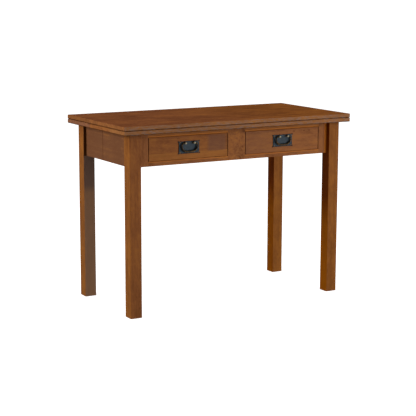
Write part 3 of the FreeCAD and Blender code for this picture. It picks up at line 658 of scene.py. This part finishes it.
class StudioLooks(bpy.types.PropertyGroup):
    """Floor, light and camera"""
    floor_colour: colour_property("Floor", "Colour of the pale floor", (0.90, 0.90, 0.90))
    floor_shade: colour_property("Floor shade", "Slightly darker mottling of the floor", (0.86, 0.86, 0.87))
    floor_glow: number_property("Floor glow", "Light that lifts the floor's shadows", 0.9)
    room_radius: length_property("Room radius", "From the table to the end of the floor", 70.0)
    zenith: number_property("Zenith", "Brightness of the room straight above", 0.45)
    horizon: number_property("Horizon", "Brightness of the room at the horizon", 0.30)
    key_power: number_property("Key light", "Power of the light on the left", 73.0, unit="POWER")
    key_size: length_property("Key light size", "Width of that light", 1.2)
    key_place: place_property("Key light place", "Where that light stands", (-3.2, 0.1, 1.5))
    key_aim: place_property("Key light aim", "What that light points at", (0, 0, 0.45))
    fill_power: number_property("Fill light", "Power of the light at the front right", 103.0, unit="POWER")
    fill_size: length_property("Fill light size", "Width of that light", 2.6)
    fill_place: place_property("Fill light place", "Where that light stands", (2.2, -3.0, 1.15))
    fill_aim: place_property("Fill light aim", "What that light points at", (0.2, 0, 0.45))
    top_power: number_property("Top light", "Power of the light straight above", 13.0, unit="POWER")
    top_size: length_property("Top light size", "Width of that light", 0.8)
    top_place: place_property("Top light place", "Where that light hangs", (0, 0, 3.2))
    top_aim: place_property("Top light aim", "What that light points at", (0, 0, 0.7))
    lens: number_property("Lens", "Focal length of the camera", 112.87, unit="CAMERA")
    camera_place: place_property("Camera", "Where the camera stands", (-2.6231, -4.5155, 1.2883))
    camera_turn: angle_property("Camera turn", "Heading of the camera, from the table's back to its right",
                                30.06)
    camera_tilt: angle_property("Camera tilt", "How far the camera looks down", 10.15)
    camera_roll: angle_property("Camera roll", "How far the camera leans to its left", 0.16)


# Operators, one for each group of pieces
class StainedPieces(bpy.types.Operator):
    """Finish the legs, aprons, rails, drawer fronts and leaves"""
    bl_idname = "console.stained_pieces"
    bl_label = "Stained pieces"

    def execute(self, context):
        looks = context.scene.wood_looks
        for node in ("front_left_leg", "front_right_leg", "rear_left_leg", "rear_right_leg"):
            self.leg(looks, node)
        self.stiles(looks)
        self.rails(looks)
        self.left_drawer_front(looks)
        self.right_drawer_front(looks)
        self.lower_leaf(looks)
        self.upper_leaf(looks)
        self.aprons(looks)
        return {"FINISHED"}

    def leg(self, looks, node):
        """Upright grain, with painted light and shade on some faces: shade deepens the right legs' inner
        faces, most near the top.
        """
        low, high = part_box(node)
        # Painted light: a golden tint on the left legs' outer faces and the right legs' fronts. Painted
        # shade: the right legs' inner faces, deepest near the top
        if "left" in node:
            tints = [glazed(LEFT, looks.golden_light_tint)]
        else:
            near_top = (Z, looks.shade_start, high.z, looks.shade_blur)
            tints = [glazed(LEFT, looks.right_leg_shade), glazed(FRONT, looks.golden_light_tint),
                     glazed(LEFT, looks.inner_shade, near_top)]
        # Painted light on the front right leg's inner face
        if node == "front_right_leg":
            tints.insert(0, painted(LEFT, looks.light_stain, 0.35))
        # Painted grey shade and sheen on the rear left leg's front, darker under the apron and darkest beside
        # it
        if node == "rear_left_leg":
            apron_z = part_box("left_front_apron")[0].z
            under_apron = (Z, apron_z - looks.shade_blur, high.z, looks.shade_blur / 4)
            beside_apron = (Z, apron_z, high.z, looks.mark_blur)
            tints += [painted(FRONT, looks.grey_shade_and_sheen, 0.7), glazed(FRONT, looks.top_shade, under_apron),
                      glazed(FRONT, looks.recess_shade, beside_apron)]
        dress(stained_wood(node + " wood", Z, looks, looks.middle_stain, (low.y, low.x, 0.7), figure=0.8,
                           tints=tints), node)

    def joints(self, looks, *directions):
        """Painted shade on the faces that meet other pieces, as in the gaps beside the drawers and at the
        side aprons' butt joint.
        """
        return [painted(direction, looks.edge_stain_and_shade, 0.9) for direction in directions]

    def front_piece(self, looks, node, grain, figure, tints):
        """A stile or rail between the front legs, hardly worn on its edges."""
        left_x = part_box(node)[0].x
        dress(stained_wood(node + " wood", grain, looks, looks.front_stain, (left_x, 0.3, 0.2), figure=figure,
                           wear=looks.front_wear, tints=tints), node)

    def stiles(self, looks):
        """Upright end stiles, and a centre stile cut from figured wood; painted shade on their sides and a
        strip of painted warm light on the right stile beside the leg.
        """
        ends = self.joints(looks, LEFT, RIGHT)
        leg_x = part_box("front_right_leg")[0].x
        beside_leg = (X, leg_x - looks.leg_light_strip, leg_x, looks.leg_light_strip / 3)
        self.front_piece(looks, "left_end_stile", Z, 0.8, ends)
        self.front_piece(looks, "right_end_stile", Z, 0.8,
                         ends + [painted(FRONT, looks.warm_light_strip, 0.8, beside_leg)])
        self.front_piece(looks, "centre_stile", Y, 1.3, ends + [painted(FRONT, looks.light_stain, 0.05)])

    def rails(self, looks):
        """Rails with a strip of painted warm light along the edges that look on the drawers; the top rails
        also get painted light on their fronts and undersides, under the leaf's shade.
        """
        opening_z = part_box("top_rails")[0].z
        above = (Z, opening_z, opening_z + looks.rail_light_strip, looks.mark_blur)
        self.front_piece(looks, "top_rails", X, 1.0,
                         [painted(FRONT, looks.light_stain, 0.45), painted(DOWN, looks.light_stain, 1.0),
                          painted(FRONT, looks.warm_light_strip, 0.40, above)])
        opening_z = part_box("bottom_rails")[1].z
        below = (Z, opening_z - looks.rail_light_strip, opening_z, looks.mark_blur)
        self.front_piece(looks, "bottom_rails", X, 1.0, [painted(FRONT, looks.warm_light_strip, 0.30, below)])

    def line(self, looks, direction, axis, place, width):
        """A painted shadow line along a place on the faces that look in a direction, as wide on each side of
        it.
        """
        return painted(direction, looks.edge_stain_and_shade, 0.85, (axis, place - width, place + width, width / 2))

    def drawer_front(self, looks, node, stain, tints, boards=None):
        """Painted shade in the joints, painted shadow lines at the ends, painted light on the top edge, and
        the tints of one drawer.
        """
        low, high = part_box(node)
        shared = [*self.joints(looks, LEFT, RIGHT), self.line(looks, FRONT, X, low.x, looks.end_shadow_line),
                  self.line(looks, FRONT, X, high.x, looks.end_shadow_line), painted(UP, looks.light_stain, 1.0)]
        dress(stained_wood(node + " wood", X, looks, stain, (0.1, 0, 0), boards, board_contrast=0.06,
                           figure=0.9, wear=looks.front_wear, tints=shared + tints), node)

    def left_drawer_front(self, looks):
        """Two boards, the lower one lighter, with a darker block in the upper one."""
        node = "left_drawer_front"
        low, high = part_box(node)
        joint_z = low.z + (high.z - low.z) * looks.drawer_joint
        block_x = high.x - looks.block_end
        lower_board = (Z, low.z, joint_z, looks.board_blur)
        block = ((Z, joint_z, high.z - looks.block_drop, looks.block_top_blur),
                 (X, block_x - looks.block_length, block_x, looks.block_blur))
        self.drawer_front(looks, node, looks.middle_stain,
                          [painted(FRONT, looks.light_stain, 0.42, lower_board),
                           painted(FRONT, looks.block_stain, 0.5, *block)],
                          (Z, high.z - joint_z, joint_z))

    def right_drawer_front(self, looks):
        """One board, browner on the left, with small knots near its top."""
        node = "right_drawer_front"
        low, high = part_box(node)
        width = high.x - low.x
        knot_z = high.z - looks.knot_drop
        half = looks.knot_size / 2
        tints = [painted(FRONT, looks.block_stain, 0.22, (X, low.x, low.x + width / 3, width / 3))]
        for share in looks.knots:
            knot_x = low.x + width * share
            knot = ((X, knot_x - half, knot_x + half, looks.mark_blur),
                    (Z, knot_z, knot_z + half, looks.mark_blur))
            tints.append(painted(FRONT, looks.edge_stain_and_shade, 0.7, *knot))
        self.drawer_front(looks, node, looks.front_stain, tints)

    def leaf(self, looks, node, first_line, stagger, board_contrast, tints):
        """Boards glued side by side, with painted tan light on the front edge, painted shadow lines along the
        lower edges, painted shade along the back edge and a painted grey sheen.
        """
        low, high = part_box(node)
        lines = [self.line(looks, direction, Z, low.z, looks.leaf_shadow_line) for direction in (FRONT, LEFT)]
        back = painted(UP, looks.edge_stain_and_shade, 0.4, (Y, high.y - looks.far_shade_line, high.y, looks.mark_blur * 2))
        dress(stained_wood(node + " wood", X, looks, looks.middle_stain, (stagger, 0, 0.2),
                           (Y, looks.board_width, first_line), board_contrast, figure=1.1, sheened=True,
                           tints=[painted(FRONT, looks.tan_edge_light, 0.42), *tints, *lines, back]), node)

    def lower_leaf(self, looks):
        """Its left end gets painted tan light on the front board and a painted grey sheen on the back one."""
        low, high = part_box("lower_leaf")
        first_line = low.y + looks.board_start
        front_board = (Y, low.y, first_line, looks.board_blur)
        back_board = (Y, first_line + looks.board_width, high.y, looks.board_blur)
        self.leaf(looks, "lower_leaf", first_line, 0.0, 0.16,
                  [painted(LEFT, looks.tan_edge_light, 0.45, front_board),
                   painted(LEFT, looks.grey_sheen, 0.10, back_board)])

    def upper_leaf(self, looks):
        """The tabletop, its boards half a board off the lower leaf's; its left end has painted light and, at
        the back, painted shade, and its top face painted light and shade tints.
        """
        low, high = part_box("upper_leaf")
        first_line = low.y + looks.board_start - looks.board_width / 2
        third = (high.y - low.y) / 3
        self.leaf(looks, "upper_leaf", first_line, 0.5, 0.11,
                  [painted(LEFT, looks.tan_edge_light, 0.20),
                   painted(LEFT, looks.dark_stain, 0.25, (Y, high.y - third, high.y, third / 4)),
                   glazed(UP, looks.top_light_tint),
                   glazed(UP, looks.top_left_shade, (X, low.x, low.x * 0.5, looks.top_blur)),
                   glazed(UP, looks.top_right_light_tint, (X, high.x * 0.6, high.x, looks.top_blur))])

    def aprons(self, looks):
        """Plain aprons; the side ones are browner and darker, the darkness partly painted shade under the
        leaf's overhang, with painted shade on their end faces at the butt joint.
        """
        dress(stained_wood("rear apron wood", X, looks, looks.middle_stain, (0.2, 0.5, 0.1)), "rear_apron")
        dress(stained_wood("side apron wood", Y, looks, looks.apron_stain_and_shade, (0.6, 0.2, 0.3), figure=0.42,
                           tints=self.joints(looks, FRONT, BACK)),
              "left_front_apron", "right_front_apron", "left_rear_apron", "right_rear_apron")


class HiddenWood(bpy.types.Operator):
    """Finish the slides, runners, kickers, blocks and drawer boxes"""
    bl_idname = "console.hidden_wood"
    bl_label = "Hidden wood"

    def execute(self, context):
        looks = context.scene.wood_looks
        slides = plain_wood("slide wood", Y, looks.slide_wood, looks.slide_shade)
        across = plain_wood("cross rail wood", X, looks.slide_wood, looks.slide_shade)
        blocks = plain_wood("block wood", Z, looks.slide_wood, looks.slide_shade)
        box_sides = plain_wood("drawer wood lengthwise", Y, looks.drawer_wood, looks.drawer_shade)
        box_backs = plain_wood("drawer wood crosswise", X, looks.drawer_wood, looks.drawer_shade)
        board = plywood("drawer plywood", looks.drawer_wood, looks.drawer_shade)
        for side in SIDES:
            dress(slides, side + "_fixed_slide", side + "_middle_slide", side + "_moving_slide")
            dress(box_sides, side + "_drawer_sides")
            dress(box_backs, side + "_drawer_back", side + "_drawer_stop")
            dress(board, side + "_drawer_bottom")
        dress(slides, "outer_runners", "centre_runner", "drawer_kickers", "locating_tongues")
        dress(across, "cross_rail")
        dress(blocks, "rear_corner_blocks")
        return {"FINISHED"}


class SmallFittings(bpy.types.Operator):
    """Finish the stop pins, felt pads and glides"""
    bl_idname = "console.small_fittings"
    bl_label = "Small fittings"

    def execute(self, context):
        looks = context.scene.fitting_looks
        dress(plain_steel("pin steel", looks.steel, looks.steel_shade), "fixed_stop_pins", "left_middle_pin",
              "right_middle_pin")
        dress(felt("brown felt", looks.felt, looks.felt_shade), "felt_pads")
        dress(nylon("brown nylon", looks.nylon, looks.nylon_shade), "front_glides", "rear_glides")
        return {"FINISHED"}


class FlapHinges(bpy.types.Operator):
    """Finish the flap hinges and put screws in their plates"""
    bl_idname = "console.flap_hinges"
    bl_label = "Flap hinges"

    def execute(self, context):
        looks = context.scene.fitting_looks
        sizes = context.scene.screw_sizes
        brass = aged_brass("hinge brass", looks.brass, looks.tarnish)
        dress(brass, "lower_hinge_plates", "upper_hinge_plates", "hinge_links")
        for level, body, outward in (("lower", "front_frame", UP), ("upper", "upper_leaf", DOWN)):
            low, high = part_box(level + "_hinge_plates")
            face_z = high.z if outward == UP else low.z
            half = sizes.hinge_width / 2
            heads = []
            for middle_x in (low.x + half, (low.x + high.x) / 2, high.x - half):
                for y in (low.y + sizes.hinge_second, low.y + sizes.hinge_first):
                    for x in (middle_x - sizes.hinge_spread, middle_x + sizes.hinge_spread):
                        place = Vector((x, y, face_z)) + Vector(outward) * sizes.proud
                        heads.append(self.head(sizes, place, outward))
            new_piece(level + "_hinge_screw_heads", joined_shapes(heads), body, brass)
        return {"FINISHED"}

    def head(self, sizes, place, outward):
        """A head whose slot stops at an angle of its own."""
        turn_per_metre = 37
        return slotted_head(sizes.hinge_head_radius, sizes.slot_width, sizes.hinge_head_slot,
                            place.x * turn_per_metre, aimed(outward, place))


class FrameScrews(bpy.types.Operator):
    """Put the screw heads in the kickers"""
    bl_idname = "console.frame_screws"
    bl_label = "Frame screws"

    def execute(self, context):
        looks = context.scene.fitting_looks
        sizes = context.scene.screw_sizes
        steel = plain_steel("screw steel", looks.steel, looks.steel_shade)
        low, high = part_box("drawer_kickers")
        heads = []
        for x in (low.x + sizes.kicker_inset, 0, high.x - sizes.kicker_inset):
            for y in (low.y + sizes.kicker_end, high.y - sizes.kicker_end):
                heads.append(self.head(sizes, Vector((x, y, low.z - sizes.proud))))
        new_piece("kicker_screw_heads", joined_shapes(heads), "front_frame", steel)
        return {"FINISHED"}

    def head(self, sizes, place):
        """A head whose slot stops at an angle of its own."""
        turn_per_metre = Vector((29, 53, 0))
        return slotted_head(sizes.head_radius, sizes.slot_width, sizes.head_slot, place.dot(turn_per_metre),
                            aimed(DOWN, place))


class PullPlates(bpy.types.Operator):
    """Finish the plates of the pulls and nail down their corners"""
    bl_idname = "console.pull_plates"
    bl_label = "Pull plates"

    def execute(self, context):
        looks = context.scene.fitting_looks
        sizes = context.scene.pull_sizes
        iron = dark_iron("plate iron", looks.iron, looks.iron_sheen)
        bronze = rubbed_bronze("nail bronze", looks.bronze_rubbed, looks.nail_bronze)
        outline = [(sizes.nail_radius, -sizes.nail_sunk),
                   *dome(sizes.nail_radius, 0, sizes.nail_height, steps=6)]
        for side in SIDES:
            node = side + "_pull_plate"
            dress(iron, node)
            low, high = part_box(node)
            nails = []
            for x in (low.x + sizes.nail_inset, high.x - sizes.nail_inset):
                for z in (low.z + sizes.nail_drop, high.z - sizes.nail_drop):
                    nails.append(spun(outline, aimed(FRONT, (x, low.y, z)), steps=24))
            new_piece(side + "_plate_nails", joined_shapes(nails), side + "_drawer", bronze,
                      smooth=True)
        return {"FINISHED"}


class PullPosts(bpy.types.Operator):
    """Make the round posts of the pulls with their domed heads, and the nuts inside the drawers"""
    bl_idname = "console.pull_posts"
    bl_label = "Pull posts"

    def execute(self, context):
        looks = context.scene.fitting_looks
        sizes = context.scene.pull_sizes
        steel = plain_steel("nut steel", looks.steel, looks.steel_shade)
        for side in SIDES:
            node = side + "_pull_posts"
            low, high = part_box(node)
            bronze = rubbed_bronze(side + " post bronze", looks.bronze, looks.bronze_rubbed, looks.head_brass,
                                   low.y + sizes.head_height, low.y + sizes.head_height / 2)
            inner_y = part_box(side + "_drawer_front")[1].y
            middle_z = (low.z + high.z) / 2
            outline = self.outline(sizes, high.y - low.y)
            posts = []
            nuts = []
            for x in (low.x + sizes.flange_radius, high.x - sizes.flange_radius):
                posts.append(spun(outline, aimed(FRONT, (x, high.y, middle_z))))
                nuts.append(self.nut(sizes, aimed(BACK, (x, inner_y, middle_z))))
            piece = new_piece(side + "_round_posts", joined_shapes(posts), side + "_drawer",
                              bronze, smooth=True)
            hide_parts(node)
            new_piece(side + "_pull_nuts", joined_shapes(nuts), side + "_drawer", steel)
        return {"FINISHED"}

    def outline(self, sizes, length):
        """Flange, neck with a chamfer under the head, and the dome."""
        foot, flange = sizes.flange_height, sizes.flange_radius
        neck_top = length - sizes.head_height
        rim = sizes.head_height * 0.35
        return [(0, 0), (flange, 0), (flange, foot / 2), (flange - foot * 2 / 3, foot * 5 / 6),
                (sizes.neck_radius, foot), (sizes.neck_radius, neck_top),
                (sizes.head_radius - sizes.head_chamfer, neck_top),
                (sizes.head_radius, neck_top + sizes.head_chamfer),
                *dome(sizes.head_radius, neck_top + rim, sizes.head_height - rim, steps=8)]

    def nut(self, sizes, place):
        """A chamfered six-sided nut."""
        shape = bmesh.new()
        middle = Matrix.Translation((0, 0, sizes.nut_height / 2))
        bmesh.ops.create_cone(shape, cap_ends=True, segments=6, radius1=sizes.nut_radius,
                              radius2=sizes.nut_radius, depth=sizes.nut_height, matrix=middle)
        top = [edge for edge in shape.edges if all(vert.co.z > sizes.nut_height / 2 for vert in edge.verts)]
        bmesh.ops.bevel(shape, geom=top, offset=sizes.nut_chamfer, offset_type="OFFSET", affect="EDGES",
                        segments=2, profile=0.5, material=-1)
        bmesh.ops.transform(shape, matrix=place, verts=shape.verts)
        return shape


class PullBails(bpy.types.Operator):
    """Sweep the round bails that swell towards their grips"""
    bl_idname = "console.pull_bails"
    bl_label = "Pull bails"

    def execute(self, context):
        looks = context.scene.fitting_looks
        sizes = context.scene.pull_sizes
        bronze = rubbed_bronze("bail bronze", looks.bronze, looks.bronze_rubbed)
        for side in SIDES:
            node = side + "_pull_bail"
            low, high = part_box(node)
            middle = Vector(((low.x + high.x) / 2, (low.y + high.y) / 2, high.z - sizes.arm_radius))
            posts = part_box(side + "_pull_posts")
            post_x = (posts[1].x - posts[0].x) / 2 - sizes.flange_radius
            start_x = post_x + sizes.neck_radius - sizes.arm_overlap
            half_width = (high.x - low.x) / 2 - sizes.arm_radius
            drop = middle.z - low.z - sizes.grip_radius
            shape = self.swept(self.stations(sizes, start_x, half_width, drop))
            bmesh.ops.translate(shape, verts=shape.verts, vec=middle)
            piece = new_piece(side + "_round_bail", shape, side + "_bail", bronze, smooth=True)
            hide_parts(node)
        return {"FINISHED"}

    def stations(self, sizes, start_x, half_width, drop):
        """Points (x, z, turn, radius) from the right post round to the left one."""
        bend = sizes.shoulder_bend
        centre_x = half_width - sizes.bottom_bend
        steps = 12
        right = [(start_x, 0, 0, sizes.arm_radius)]
        for step in range(steps + 1):
            angle = math.pi / 2 * step / steps
            right.append((half_width - bend + bend * math.sin(angle), bend * (math.cos(angle) - 1), angle,
                          sizes.arm_radius))
        for step in range(1, steps + 1):
            angle = math.pi / 2 * step / steps
            across = math.cos(angle)
            down = math.sin(angle)
            slope = math.atan2(sizes.bottom_bend * down, (drop - bend) * across)
            radius = sizes.arm_radius + (sizes.grip_radius - sizes.arm_radius) * step / steps
            right.append((centre_x + sizes.bottom_bend * across, -bend - (drop - bend) * down,
                          math.pi / 2 + slope, radius))
        left = [(-x, z, 2 * math.pi - turn, radius) for x, z, turn, radius in reversed(right)]
        return right + left

    def swept(self, stations):
        """Join a ring at each station into one closed bar."""
        shape = bmesh.new()
        rings = []
        for x, z, turn, radius in stations:
            place = Matrix.Translation((x, 0, z)) @ Matrix.Rotation(math.pi / 2 + turn, 4, "Y")
            made = bmesh.ops.create_circle(shape, cap_ends=False, segments=20, radius=radius, matrix=place)
            rings.append(list({edge for vert in made["verts"] for edge in vert.link_edges}))
        for first, second in zip(rings, rings[1:]):
            bmesh.ops.bridge_loops(shape, edges=first + second)
        bmesh.ops.holes_fill(shape, edges=[edge for edge in shape.edges if edge.is_boundary], sides=0)
        bmesh.ops.remove_doubles(shape, verts=shape.verts, dist=MERGE_DISTANCE)
        bmesh.ops.recalc_face_normals(shape, faces=shape.faces)
        return shape


class Studio(bpy.types.Operator):
    """Lay the pale floor and set up the lights and the camera"""
    bl_idname = "console.studio"
    bl_label = "Studio"

    def execute(self, context):
        looks = context.scene.studio_looks
        self.floor_and_wall(looks)
        self.surround(context.scene, looks)
        self.soft_box("key light", looks.key_power, looks.key_size, looks.key_place, looks.key_aim)
        self.soft_box("fill light", looks.fill_power, looks.fill_size, looks.fill_place, looks.fill_aim)
        self.soft_box("top light", looks.top_power, looks.top_size, looks.top_place, looks.top_aim)
        self.camera(context.scene, looks)
        context.scene.view_settings.view_transform = "Standard"
        return {"FINISHED"}

    def floor_and_wall(self, looks):
        """A wide floor, and far away a round wall as pale as the floor."""
        finish = Finish("pale floor", Specular_IOR_Level=0.1, Emission_Strength=looks.floor_glow,
                        Emission_Color=looks.floor_colour)
        place = finish.place()
        mottle = finish.noise(place, 3, 3, 0.6)
        grit = finish.noise(place, 260, 2, 0.6)
        finish.set("Base Color", finish.mixed(mottle * 0.3, looks.floor_colour, looks.floor_shade))
        finish.set("Roughness", 0.7 + grit * 0.2)
        ground = bmesh.new()
        bmesh.ops.create_grid(ground, x_segments=1, y_segments=1, size=looks.room_radius)
        wall_radius = looks.room_radius * 0.9
        wall = spun([(wall_radius, 0), (wall_radius, wall_radius)], Matrix.Identity(4), steps=96)
        for name, shape in (("floor", ground), ("round wall", wall)):
            piece = new_object(name, shape, finish.material)
            piece.visible_diffuse = False
            piece.visible_shadow = piece.visible_glossy = name == "floor"

    def surround(self, scene, looks):
        """Light from all round, weakest at the horizon."""
        scene.world = bpy.data.worlds.new("studio room")
        scene.world.use_nodes = True
        tree = scene.world.node_tree
        direction = tree.nodes.new("ShaderNodeTexCoord")
        axes = tree.nodes.new("ShaderNodeSeparateXYZ")
        curve = tree.nodes.new("ShaderNodeMath")
        curve.operation = "POWER"
        curve.use_clamp = True
        curve.inputs[1].default_value = 2
        ramp = tree.nodes.new("ShaderNodeMapRange")
        ramp.inputs["To Min"].default_value = looks.horizon
        ramp.inputs["To Max"].default_value = looks.zenith
        tree.links.new(direction.outputs["Generated"], axes.inputs[0])
        tree.links.new(axes.outputs["Z"], curve.inputs[0])
        tree.links.new(curve.outputs[0], ramp.inputs["Value"])
        tree.links.new(ramp.outputs[0], tree.nodes["Background"].inputs["Strength"])
        tree.nodes["Background"].inputs["Color"].default_value = (1, 1, 1, 1)

    def soft_box(self, name, power, size, place, aim):
        light = bpy.data.lights.new(name, "AREA")
        light.energy = power
        light.size = size
        lamp = bpy.data.objects.new(name, light)
        lamp.location = place
        lamp.rotation_euler = (Vector(aim) - Vector(place)).to_track_quat("-Z", "Y").to_euler()
        bpy.context.scene.collection.objects.link(lamp)

    def camera(self, scene, looks):
        lens = bpy.data.cameras.new("camera")
        lens.lens = looks.lens
        lens.sensor_width = 36
        camera = bpy.data.objects.new("camera", lens)
        camera.location = looks.camera_place
        camera.rotation_euler = (math.pi / 2 - looks.camera_tilt, -looks.camera_roll, -looks.camera_turn)
        scene.collection.objects.link(camera)
        scene.camera = camera


# Panel and registration
OPERATORS = (StainedPieces, HiddenWood, SmallFittings, FlapHinges, FrameScrews, PullPlates, PullPosts,
             PullBails, Studio)
SETTINGS = {"wood_looks": WoodLooks, "fitting_looks": FittingLooks, "pull_sizes": PullSizes,
            "screw_sizes": ScrewSizes, "studio_looks": StudioLooks}


class ConsoleTablePanel(bpy.types.Panel):
    """Buttons for each group of pieces, with the settings under them"""
    bl_idname = "VIEW3D_PT_console_table"
    bl_label = "Console Table"
    bl_space_type = "VIEW_3D"
    bl_region_type = "UI"
    bl_category = "Console Table"

    def draw(self, context):
        for operator in OPERATORS:
            self.layout.operator(operator.bl_idname)
        for name in SETTINGS:
            group = getattr(context.scene, name)
            box = self.layout.box()
            for setting in group.bl_rna.properties.keys():
                if setting not in ("name", "rna_type"):
                    box.prop(group, setting)


def register():
    for kind in (*SETTINGS.values(), *OPERATORS, ConsoleTablePanel):
        bpy.utils.register_class(kind)
    for name, group in SETTINGS.items():
        setattr(bpy.types.Scene, name, bpy.props.PointerProperty(type=group))


def unregister():
    for name in SETTINGS:
        delattr(bpy.types.Scene, name)
    for kind in (ConsoleTablePanel, *reversed(OPERATORS), *reversed(SETTINGS.values())):
        bpy.utils.unregister_class(kind)


def main():
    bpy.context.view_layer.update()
    register()
    for operator in OPERATORS:
        group, name = operator.bl_idname.split(".")
        getattr(getattr(bpy.ops, group), name)()


if __name__ == "__main__":
    main()
